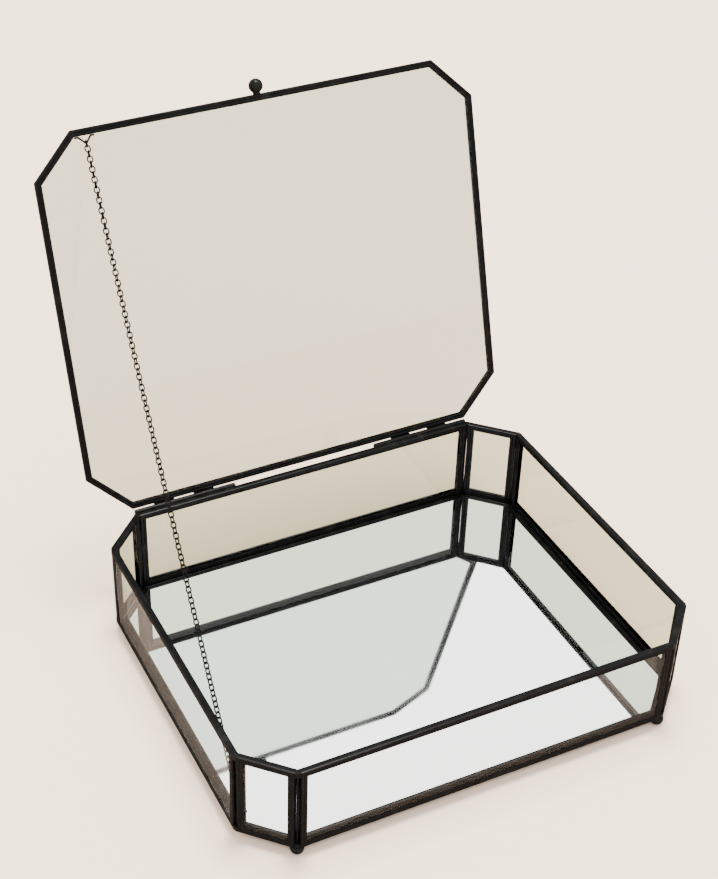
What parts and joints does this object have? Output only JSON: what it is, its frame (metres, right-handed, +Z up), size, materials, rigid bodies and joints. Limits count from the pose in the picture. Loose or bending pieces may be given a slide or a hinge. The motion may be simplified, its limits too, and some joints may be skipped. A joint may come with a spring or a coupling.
{
  "type": "keepsake box",
  "caption": "Octagonal clear glass keepsake box with dark metal came edges, a mirror base, and a hinged glass lid that is held open by a fine stay chain.",
  "frame": {"origin": "centre of the overall size with the lid open, at the height of the surface the feet stand on", "axes": "+Z up, +Y from the front of the box to its hinged back, +X to the right along the hinges"},
  "size_m": [0.305, 0.3394, 0.3183],
  "materials": {
    "clear_glass": "clear float glass, polished",
    "mirror": "silvered mirror glass, polished",
    "came_metal": "near-black satin patina on rolled metal",
    "solder": "near-black patina on solder, slightly uneven",
    "hinge_metal": "near-black satin patina on drawn tube",
    "ball_metal": "near-black satin patina on turned metal",
    "chain_metal": "near-black patina on round wire"
  },
  "bodies": {
    "box": {"base_mirror": "mirror", "base_rim": "came_metal", "came_back": "came_metal", "came_back_left": "came_metal", "came_back_right": "came_metal", "came_front": "came_metal", "came_front_left": "came_metal", "came_front_right": "came_metal", "came_left": "came_metal", "came_right": "came_metal", "chain_box_eye": "chain_metal", "corner_solder": "solder", "foot_back_left": "ball_metal", "foot_back_right": "ball_metal", "foot_front_left": "ball_metal", "foot_front_right": "ball_metal", "glass_back": "clear_glass", "glass_back_left": "clear_glass", "glass_back_right": "clear_glass", "glass_front": "clear_glass", "glass_front_left": "clear_glass", "glass_front_right": "clear_glass", "glass_left": "clear_glass", "glass_right": "clear_glass", "hinge_left_box_knuckles": "hinge_metal", "hinge_left_pin": "hinge_metal", "hinge_right_box_knuckles": "hinge_metal", "hinge_right_pin": "hinge_metal", "stay_chain": "came_metal"},
    "lid": {"chain_lid_staple": "chain_metal", "hinge_left_lid_knuckles": "hinge_metal", "hinge_right_lid_knuckles": "hinge_metal", "knob_ball": "ball_metal", "knob_neck": "ball_metal", "lid_glass": "clear_glass", "lid_rim": "came_metal"}
  },
  "joints": [
    {"name": "lid_hinge", "type": "hinge", "parent": "box", "child": "lid", "pos_m": [0, 0.08583, 0.06715], "axis": [1, 0, 0], "range_deg": [0, 107], "deforming": ["stay_chain"]}
  ]
}
